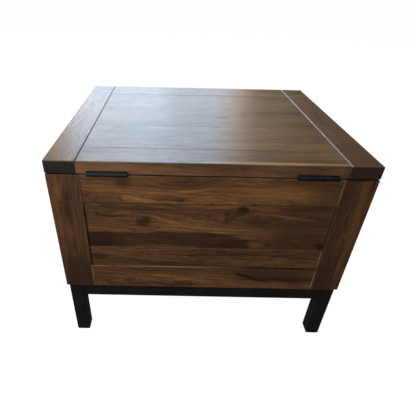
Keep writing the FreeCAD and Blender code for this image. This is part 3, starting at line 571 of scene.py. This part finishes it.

# %% [markdown]
# ## The rear wall
#
# Along the joints of the rear wall, dark lines are painted shade where a joint lies in shadow, and pale lines
# are painted highlights where the edge of a joint catches the light. Joint lines give their place, half
# length, half width, turn, colour and strength.

# %% Give the rear wall its boards
# Painted light: the dark colour is painted shade in the joints, the pale one painted highlight on their edges
PAINTED_SHADE_LINE, PAINTED_HIGHLIGHT_LINE = "#0d0a09", "#a3927a"
UPPER_JOINTS = (
    (241.6, 322, 62, 2.2, 90, PAINTED_SHADE_LINE, 0.9),
    (-242.2, 330, 52, 1.3, 90, PAINTED_SHADE_LINE, 0.7),
)
LOWER_JOINTS = (
    (241.6, 242, 30, 2.2, 90, PAINTED_SHADE_LINE, 0.9),
    (-242.2, 244, 24, 1.2, 90, PAINTED_HIGHLIGHT_LINE, 0.5),
    (-155, 218, 95, 1.1, 0, PAINTED_SHADE_LINE, 0.8),
)
BOTTOM_JOINTS = (
    (78, 216.2, 110, 0.9, 0, PAINTED_HIGHLIGHT_LINE, 0.45),
    (225, 216.2, 22, 0.8, 0, PAINTED_HIGHLIGHT_LINE, 0.3),
    (-242.2, 185, 30, 1.2, 90, PAINTED_HIGHLIGHT_LINE, 0.6),
    (242.2, 190, 26, 1.1, 90, PAINTED_HIGHLIGHT_LINE, 0.3),
    (-155, 216.2, 95, 1.1, 0, PAINTED_SHADE_LINE, 0.8),
)
TOP_JOINTS = (
    (-242.2, 407, 30, 0.9, 90, PAINTED_HIGHLIGHT_LINE, 0.4),
    (242.2, 407, 32, 1.1, 90, PAINTED_SHADE_LINE, 0.6),
    (0, 377.8, 600, 1.1, 0, PAINTED_SHADE_LINE, 0.7),
)
LEFT_POST_JOINTS = ((435.2, 267, 23, 1.3, 90, PAINTED_SHADE_LINE, 0.85),)
REAR_WALL = {
    "rear_top_rail": {"grain": "X", "tone": 0.6, "marks": TOP_MARKS, "joints": TOP_JOINTS},
    "rear_upper_board": {"grain": "X", "tone": 0.63, "marks": UPPER_MARKS, "joints": UPPER_JOINTS},
    "rear_lower_board": {"grain": "X", "tone": 0.51, "marks": LOWER_MARKS, "joints": LOWER_JOINTS},
    "rear_bottom_rail": {"grain": "X", "tone": 0.54, "marks": BOTTOM_MARKS, "joints": BOTTOM_JOINTS},
    "post_rear_right": {
        "grain": "Z", "tone": 0.48, "blotch": 0.7, "streak": 0.6, "marks": RIGHT_POST_MARKS,
    },
    "post_rear_left": {
        "grain": "Z", "tone": 0.42, "blotch": 0.6, "streak": 0.6, "marks": LEFT_POST_MARKS,
        "joints": LEFT_POST_JOINTS,
    },
}
seed = 1
for board, look in REAR_WALL.items():
    hardwood(board, seed=seed, tones=CASE_TONES, **look)
    seed += 1
print("rear wall:", ", ".join(REAR_WALL))

# %% [markdown]
# ## The other walls
#
# The front and the two ends are built like the rear wall, from the same pile of boards, so they get knots,
# heartwood bands and golden streaks of their own. The floor is stained too, but not polished.

# %% Give the other walls and the floor their boards
WALL_MARKS = {
    "front_top_rail": ((90, 405, 110, 14, 2, 0.5, 0.16, -0.5), (-170, 398, 12, 9, 0, 0.6, -0.3, -0.6)),
    "front_upper_board": (
        (-235, 300, 270, 22, -1, 0.15, -0.3, 0), (-240, 296, 160, 11, -1, 0.3, -0.22, 0),
        (70, 345, 15, 12, 15, 0.5, -0.35, -0.8), (150, 338, 60, 4, -4, 0.6, 0.2, 0),
    ),
    "front_bottom_rail": ((60, 187, 150, 14, 1, 0.2, -0.25, 0), (-150, 200, 50, 4, -5, 0.6, 0.2, 0)),
    "right_upper_board": ((30, 335, 14, 11, 10, 0.5, -0.35, -0.8), (-215, 296, 230, 17, 1, 0.15, -0.3, 0)),
    "right_bottom_rail": ((-40, 186, 90, 10, -3, 0.4, -0.25, 0),),
    "left_top_rail": ((20, 408, 120, 12, 0, 0.5, 0.16, -0.5),),
    "left_upper_board": ((-70, 352, 12, 10, 0, 0.5, -0.4, -0.8), (230, 308, 210, 15, -1, 0.15, -0.3, 0)),
}
WALL_TONES = {"top_rail": 0.6, "upper_board": 0.57, "lower_board": 0.49, "bottom_rail": 0.54}


def corners(node):
    """Lowest and highest corners of a piece in millimetres."""
    return [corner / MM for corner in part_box(node)]


first_seed = seed
for side, grain in (("front", "X"), ("right", "Y"), ("left", "Y")):
    for member, tone in WALL_TONES.items():
        board = f"{side}_{member}"
        low, high = corners(board)
        along = "XY".index(grain)
        middle, length = (low[along] + high[along]) / 2, high[along] - low[along]
        # Painted shade: a dark line where the panel sits back from the rails
        seams = {"upper_board": high.z, "lower_board": low.z}
        shade_lines = [(middle, seams[member], length, 1.2, 0, PAINTED_SHADE_LINE, 0.75)] if member in seams else []
        hardwood(board, grain, seed, CASE_TONES, tone=tone, marks=WALL_MARKS.get(board, ()), joints=shade_lines)
        seed += 1
for corner in ("front_left", "front_right"):
    hardwood(f"post_{corner}", "Z", seed, CASE_TONES)
    seed += 1
for piece in ("floor_panel", "floor_cleats"):
    hardwood(piece, "X", seed, CASE_TONES, gloss=0.7)
    seed += 1
print("other walls and floor:", seed - first_seed, "pieces")

# %% [markdown]
# ## The lid
#
# The lid is sanded finer and gets more coats, so it mirrors the window softly, and its three field boards are
# glued so tight that their seams vanish under the lacquer. Dark lines of painted shade mark the joints with
# rails and ends. Along the rear edge a tan strip is a painted highlight on one stretch, with dark strips of
# painted shadow beside it, and a paler patch on one end is a painted reflection of the window.

# %% Give the lid its boards
REAR_SEAM = corners("lid_rear_rail")[0].y
FRONT_SEAM = corners("lid_front_rail")[1].y
END_SEAM = corners("lid_end_right")[0].x
END_MIDDLE = (END_SEAM + corners("lid_end_right")[1].x) / 2
# Painted light on the lid: dark seam lines are painted shade, the tan strip a painted highlight on the rear
# edge, and the dark strips there painted shadow
PAINTED_SEAM_SHADE, PAINTED_SHADOW, PAINTED_EDGE_HIGHLIGHT = "#23140d", "#241509", "#b88c66"
LID_JOINTS = {
    "lid_front_rail": [(0, FRONT_SEAM, 310, 2, 0, PAINTED_SEAM_SHADE, 0.95)],
    "lid_field_board_1": [(0, FRONT_SEAM, 310, 2, 0, PAINTED_SEAM_SHADE, 0.95)],
    "lid_field_board_2": [],
    "lid_field_board_3": [(0, REAR_SEAM, 240, 1.1, 0, PAINTED_SEAM_SHADE, 0.8)],
    "lid_rear_rail": [
        (0, REAR_SEAM, 240, 1.1, 0, PAINTED_SEAM_SHADE, 0.8), (-120, 243.5, 150, 5, 0, PAINTED_EDGE_HIGHLIGHT, 0.6),
        (-200, 256, 110, 8, 0, PAINTED_SHADOW, 0.45), (-250, 256, 22, 8, 0, PAINTED_SHADOW, 0.75),
    ],
    "lid_end_left": [(FRONT_SEAM, -END_MIDDLE, 40, 1.4, 90, PAINTED_SEAM_SHADE, 0.9)],
    "lid_end_right": [
        (0, END_SEAM, 400, 2, 0, PAINTED_SEAM_SHADE, 0.6), (FRONT_SEAM, END_MIDDLE, 40, 1.4, 90, PAINTED_SEAM_SHADE, 0.9),
    ],
}
LID_LOOK = {
    "blotch": 1.3, "streak": 0.9, "veins": 0.3, "pores": 0.06, "gloss": 0.3, "shine": 0.5,
    "end_hex": "#1d150e",
}
field_seams = [corner.y for corner in corners("lid_field_board_2")]
BOARD_LOOKS = {f"lid_field_board_{number}": {"glued": field_seams} for number in (1, 2, 3)}
# The paler patch on this end is a painted reflection of the window
BOARD_LOOKS["lid_end_right"] = {
    "end_hex": "#08090b", "drink": 0.97, "marks": ((-60, END_MIDDLE, 170, 60, 0, 0.9, 0.24, 0),),
}
BOARD_LOOKS["lid_end_left"] = {"blotch": 0.6, "marks": ((250, -END_MIDDLE, 130, 60, 0, 0.8, -0.2, 0),)}
for board, joints in LID_JOINTS.items():
    grain = "flat Y" if board.startswith("lid_end") else "flat X"
    look = {**LID_LOOK, **BOARD_LOOKS.get(board, {})}
    hardwood(board, grain, seed, LID_TONES, joints=joints, **look)
    seed += 1
seam_places = [round(place, 2) for place in (REAR_SEAM, FRONT_SEAM, END_SEAM, *field_seams)]
print("lid:", len(LID_JOINTS), "boards, seams at", seam_places, "mm, ends round", round(END_MIDDLE, 2), "mm")

# %% [markdown]
# ## Steel, plastic and rubber
#
# The base is welded from square tube and powder coated, the hinges are stamped steel dipped in black lacquer,
# and stays and screws are zinc plated. The leg glides are moulded plastic, the bumpers rubber. All of these
# differ in the same few things, so one function makes them: a colour that drifts to a scuffed one, a gloss
# that drifts with it, and a fine grit. Grit is drawn coarser than the real one so that it shows.

# %% Make the hardware finishes
SCUFF, SCUFF_FROM, SCUFF_TO = 40 * MM, 0.45, 0.75
GLOSS_DRIFT = 0.08


def coated(name, shade, worn_shade, rough, shine, grit, depth, metal=0.0, tint="#ffffff"):
    """A finish with fine grit, its size and depth in millimetres, and slightly uneven colour and gloss."""
    material, tree = blank_material(name)
    place = add(tree, "ShaderNodeTexCoord", out="Object")
    drift = add(tree, "ShaderNodeTexNoise", {"Vector": place, "Scale": 1 / SCUFF, "Detail": 4.0})
    fine = add(tree, "ShaderNodeTexNoise", {"Vector": place, "Scale": 1 / (grit * MM), "Detail": 2.0})
    scuffs = add(tree, "ShaderNodeMapRange", {"Value": drift, "From Min": SCUFF_FROM, "From Max": SCUFF_TO})
    colour = add(tree, "ShaderNodeMix", {
        0: scuffs, 6: linear(shade), 7: linear(worn_shade),
    }, out=2, data_type="RGBA")
    roughness = add(tree, "ShaderNodeMapRange", {
        "Value": drift, "From Min": NOISE_LOW, "From Max": NOISE_HIGH, "To Min": rough - GLOSS_DRIFT,
        "To Max": rough + GLOSS_DRIFT,
    })
    bump = add(tree, "ShaderNodeBump", {"Height": fine, "Strength": 0.3, "Distance": depth * MM})
    surface = add(tree, "ShaderNodeBsdfPrincipled", {
        "Base Color": colour, "Roughness": roughness, "Normal": bump, "Metallic": metal,
        "Specular IOR Level": shine, "Specular Tint": linear(tint),
    })
    add(tree, "ShaderNodeOutputMaterial", {"Surface": surface})
    return material


# Powder melted into a matt black skin: broad dull highlights and a faint orange peel
POWDER_COAT = coated("black_powder_coated_steel", "#0f0f10", "#171718", rough=0.55, shine=0.2, grit=1.6,
                     depth=0.08)
# Thin lacquer on smooth sheet steel: a tighter, cool highlight along each barrel
BLACK_LACQUER = coated("satin_black_lacquered_steel", "#0a0b0e", "#16171b", rough=0.36, shine=0.26, grit=1.2,
                       depth=0.04, tint="#e2ecff")
# Plating: pale grey metal with a slight haze
ZINC = coated("zinc_plated_steel", "#b4b8bb", "#8f9294", rough=0.34, shine=0.5, grit=0.8, depth=0.03,
              metal=1.0)
# Moulded against a fine matt tool: an even dull black
PLASTIC = coated("black_moulded_nylon", "#101011", "#1b1b1c", rough=0.5, shine=0.3, grit=0.9, depth=0.05)
# Rubber: almost no highlight, and greyer where it has bloomed
RUBBER = coated("black_rubber", "#1a1a1b", "#262627", rough=0.8, shine=0.2, grit=0.8, depth=0.05)
FINISHES = {
    POWDER_COAT: ("base_leg_", "base_rail_", "base_corner_tabs"), PLASTIC: ("base_leg_glides",),
    BLACK_LACQUER: ("hinge_",), ZINC: ("stay_", "base_screws"), RUBBER: ("lid_bumpers",),
}
for finish, starts in FINISHES.items():
    for name, node in nodes.items():
        if name.startswith(starts):
            node.material_slots[0].material = finish
print("finishes:", ", ".join(finish.name for finish in FINISHES))

# %% [markdown]
# ## Turned shapes
#
# Small round hardware is turned or headed from wire, and the construction model only has it faceted. Each
# kind is spun from its profile, as on a lathe. A cross slot is pressed into a flat head: cuts along the sides
# of the cross divide the head's face, and the faces inside the cross sink and draw together.

# %% Turn a shape and press its slot
NEAR = 0.001 * MM
LATHE_STEPS = 24
SLOT_TAPER = 0.8


def turned(points):
    """A shape spun round Z from points of radius and height in millimetres, closed on its axis."""
    shape = bmesh.new()
    line = [shape.verts.new((radius * MM, 0, height * MM)) for radius, height in points]
    edges = [shape.edges.new(pair) for pair in zip(line, line[1:])]
    bmesh.ops.spin(shape, geom=line + edges, axis=(0, 0, 1), cent=(0, 0, 0), angle=math.tau,
                   steps=LATHE_STEPS, use_merge=True)
    bmesh.ops.remove_doubles(shape, verts=shape.verts, dist=NEAR)
    bmesh.ops.recalc_face_normals(shape, faces=shape.faces)
    return shape


def cross_slotted(shape, reach, width, depth):
    """The shape with a cross pressed into its flat top at height zero."""
    def flat_top():
        return [face for face in shape.faces if all(abs(vert.co.z) < NEAR for vert in face.verts)]

    for across in (Vector((1, 0, 0)), Vector((0, 1, 0))):
        for offset in (-reach, -width, width, reach):
            top = flat_top()
            rim = {edge for face in top for edge in face.edges}
            points = {vert for face in top for vert in face.verts}
            bmesh.ops.bisect_plane(shape, geom=[*top, *rim, *points], plane_co=across * offset * MM,
                                   plane_no=across, dist=NEAR)
    cross = []
    for face in flat_top():
        x, y, _ = face.calc_center_median() / MM
        if (abs(x) < width and abs(y) < reach) or (abs(y) < width and abs(x) < reach):
            cross.append(face)
    pressed = bmesh.ops.extrude_face_region(shape, geom=cross)["geom"]
    bmesh.ops.delete(shape, geom=cross, context="FACES")
    slot_floor = [item for item in pressed if isinstance(item, bmesh.types.BMVert)]
    bmesh.ops.translate(shape, vec=(0, 0, -depth * MM), verts=slot_floor)
    bmesh.ops.scale(shape, vec=(SLOT_TAPER, SLOT_TAPER, 1), verts=slot_floor)
    return shape


print("turned shapes have", LATHE_STEPS, "sides")

# %% [markdown]
# ## Screws and rivets
#
# Two kinds of screw and one rivet are enough for the whole table. A profile starts at the middle of the head,
# at height zero, and ends on the axis below, so that a shape is set into its place by its visible top.

# %% Turn the screws and rivets
HEAD_RADIUS, SCREW_SHANK, SCREW_LENGTH = 3.5, 1.75, 16
PAN_RADIUS, BOLT_SHANK = 5, 2.5
RIVET_SHANK, RIVET_HEAD = 2.5, 1.4


def wood_screw():
    """Flat-headed wood screw, 3.5 by 16 mm, with its head at height zero and its point below."""
    return cross_slotted(turned([
        (0, 0), (3.3, 0), (HEAD_RADIUS, -0.25), (HEAD_RADIUS, -1.8), (SCREW_SHANK, -1.8), (SCREW_SHANK, -13),
        (0, -SCREW_LENGTH),
    ]), 1.9, 0.45, 0.9)


def base_screw():
    """Pan-headed screw, 5 by 30 mm under its head."""
    return cross_slotted(turned([
        (0, 0), (3.4, 0), (4.4, -0.4), (4.9, -1.1), (PAN_RADIUS, -2.4), (BOLT_SHANK, -2.4), (BOLT_SHANK, -28),
        (0, -32.4),
    ]), 2.6, 0.6, 1.3)


def rivet(length, far_head):
    """Rivet from height zero down: a domed head, its shank and, where it shows, a second head."""
    dome = [(0, 0), (1.6, -0.08), (3.0, -0.4), (4.1, -0.95), (4.5, -RIVET_HEAD), (RIVET_SHANK, -RIVET_HEAD)]
    foot = [(RIVET_SHANK, -length), (0, -length)]
    if far_head:
        foot = [(radius, -length - height) for radius, height in reversed(dome)]
    return turned(dome + foot)


sample = wood_screw()
print("a wood screw has", len(sample.faces), "faces")
sample.free()

# %% [markdown]
# ## Setting the hardware out
#
# Each shape is copied to its places, which come from the boxes of the faceted pieces. The copies of a kind
# that move together are one piece, which rides on their body and takes the place of the faceted one. Its
# round sides are shaded smooth, and only real edges stay sharp.

# %% Set out copies of a shape
DOWN, UP = (0, 0, -1), (0, 0, 1)
SHARP_DEGREES = 40


def placed(x, y, z, out):
    """Place for a shape: its top at a point in millimetres, facing out."""
    turn = Vector(out).to_track_quat("Z", "Y").to_matrix().to_4x4()
    return Matrix.Translation(Vector((x, y, z)) * MM) @ turn


def set_out(name, shape, places, body, slot, finish, *stands_for):
    """One piece from copies of a shape, riding on a body in place of construction nodes."""
    mesh = bpy.data.meshes.new(name)
    shape.to_mesh(mesh)
    shape.free()
    group = bmesh.new()
    for place in places:
        count = len(group.verts)
        group.from_mesh(mesh)
        group.verts.ensure_lookup_table()
        bmesh.ops.transform(group, matrix=place, verts=group.verts[count:])
    group.to_mesh(mesh)
    group.free()
    mesh.shade_smooth()
    mesh.set_sharp_from_angle(angle=math.radians(SHARP_DEGREES))
    mesh.materials.append(finish)
    piece = bpy.data.objects.new(name, mesh)
    scene.collection.objects.link(piece)
    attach(piece, body)
    if stands_for:
        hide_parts(*stands_for)
    print(name, len(places), "copies,", len(mesh.polygons), "faces")


print("edges of more than", SHARP_DEGREES, "degrees stay sharp")

# %% [markdown]
# ## Hinge pins and screws
#
# Each butt hinge turns on a pin with two domed heads. Three screws hold each leaf, the middle one set back so
# that the three don't split the rail along one line of grain. Only an open lid shows them.

# %% Set out the hinge hardware
HINGE_X, SCREW_STEP = 191.1, 23.7
low, high = corners("hinge_case_screws")
leaf_screws = []
for side in (-1, 1):
    for step in (-1, 0, 1):
        row = high.y - HEAD_RADIUS if step else low.y + HEAD_RADIUS
        leaf_screws.append((side * (HINGE_X + step * SCREW_STEP), row))
case_leaf_top = high.z
lid_leaf_bottom = corners("hinge_lid_screws")[0].z
set_out("hinge_case_screws_cross", wood_screw(), [placed(x, y, case_leaf_top, UP) for x, y in leaf_screws],
        "case", "hinge_steel", BLACK_LACQUER, "hinge_case_screws")
set_out("hinge_lid_screws_cross", wood_screw(), [placed(x, y, lid_leaf_bottom, DOWN) for x, y in leaf_screws],
        "lid", "hinge_steel", BLACK_LACQUER, "hinge_lid_screws")

low, high = corners("hinge_pins")
middle = (low + high) / 2
pin_length = (high.x - HINGE_X) * 2
pin_head = [(0, 0), (1.6, -0.1), (2.9, -0.35), (3.6, -0.75), (3.8, -1.3), (2.5, -1.3)]
hinge_pin = turned(pin_head + [(radius, -pin_length - height) for radius, height in reversed(pin_head)])
set_out("hinge_pins_domed", hinge_pin, [
    placed(high.x, middle.y, middle.z, (1, 0, 0)), placed(low.x, middle.y, middle.z, (-1, 0, 0)),
], "case", "hinge_steel", BLACK_LACQUER, "hinge_pins")

# %% [markdown]
# ## Stay rivets and screws
#
# The folding stays swing on rivets with domed heads. Each rivet belongs to the piece that it was set in.

# %% Set out the stay hardware
for end, arm, body in (("case", "lower", "case"), ("lid", "upper", "lid")):
    low, high = corners(f"stay_{end}_rivets")
    middle = (low + high) / 2
    inner = corners(f"stay_{arm}_arm_right")[0].x - RIVET_HEAD
    set_out(f"stay_{end}_rivets_domed", rivet(high.x - inner, end == "lid"),
            [placed(side * inner, middle.y, middle.z, (-side, 0, 0)) for side in (-1, 1)],
            body, "stay_steel", ZINC, f"stay_{end}_rivets")
for side, sign in (("left", -1), ("right", 1)):
    low, high = corners(f"stay_elbow_rivet_{side}")
    middle = (low + high) / 2
    inner = sign * min(abs(low.x), abs(high.x))
    set_out(f"stay_elbow_rivet_{side}_domed", rivet(high.x - low.x, True),
            [placed(inner, middle.y, middle.z, (-sign, 0, 0))],
            f"stay_lower_{side}", "stay_steel", ZINC, f"stay_elbow_rivet_{side}")

low, high = corners("stay_case_screws")
y = (low.y + high.y) / 2
plate = high.x - SCREW_LENGTH
set_out("stay_case_screws_cross", wood_screw(), [
    placed(side * plate, y, z, (-side, 0, 0))
    for side in (-1, 1) for z in (low.z + HEAD_RADIUS, high.z - HEAD_RADIUS)
], "case", "stay_steel", ZINC, "stay_case_screws")
low, high = corners("stay_lid_screws")
set_out("stay_lid_screws_cross", wood_screw(), [
    placed(side * (high.x - HEAD_RADIUS), y, low.z, DOWN)
    for side in (-1, 1) for y in (low.y + HEAD_RADIUS, high.y - HEAD_RADIUS)
], "lid", "stay_steel", ZINC, "stay_lid_screws")

# %% [markdown]
# ## Base screws, weld beads and bumpers
#
# A screw through each corner tab holds the base to a post. The tubes are welded, and a bead of small ripples
# shows under each joint of rail and leg. Two rubber buttons on the front posts let the lid down softly.

# %% Set out the base screws, welds and bumpers
low, high = corners("base_screws")
set_out("base_screws_cross", base_screw(), [
    placed(x, y, low.z, DOWN)
    for x in (low.x + PAN_RADIUS, high.x - PAN_RADIUS) for y in (low.y + PAN_RADIUS, high.y - PAN_RADIUS)
], "case", "stay_steel", ZINC, "base_screws")

RIPPLE_STEP, RIPPLE_COUNT, RIPPLE_RADIUS = 2.0, 14, 1.9
ripples = []
for side in ("front", "rear", "left", "right"):
    low, high = corners(f"base_rail_{side}")
    for end in (low, high):
        for ripple in range(1, RIPPLE_COUNT + 1):
            across = ripple * RIPPLE_STEP
            x, y = (end.x, low.y + across) if side in ("front", "rear") else (low.x + across, end.y)
            ripples.append(Matrix.Translation(Vector((x, y, low.z)) * MM))
bead = bmesh.new()
bmesh.ops.create_icosphere(bead, subdivisions=2, radius=RIPPLE_RADIUS * MM)
set_out("base_weld_beads", bead, ripples, "case", "base_steel", POWDER_COAT)

BUMPER_RADIUS, BUMPER_HEIGHT = 5, 2.5
low, high = corners("lid_bumpers")
bumper = turned([
    (0, 0), (2.6, -0.05), (3.9, -0.35), (4.7, -0.9), (BUMPER_RADIUS, -1.6), (BUMPER_RADIUS, -BUMPER_HEIGHT),
    (0, -BUMPER_HEIGHT),
])
set_out("lid_bumpers_domed", bumper, [
    placed(x, (low.y + high.y) / 2, high.z, UP) for x in (low.x + BUMPER_RADIUS, high.x - BUMPER_RADIUS)
], "case", "bumper_rubber", RUBBER, "lid_bumpers")

# %% [markdown]
# ## Finish
#
# The box round the dressed table is printed.

# %% Measure and finish
low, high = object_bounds()
print("visual box", [round(value, 4) for value in high - low])
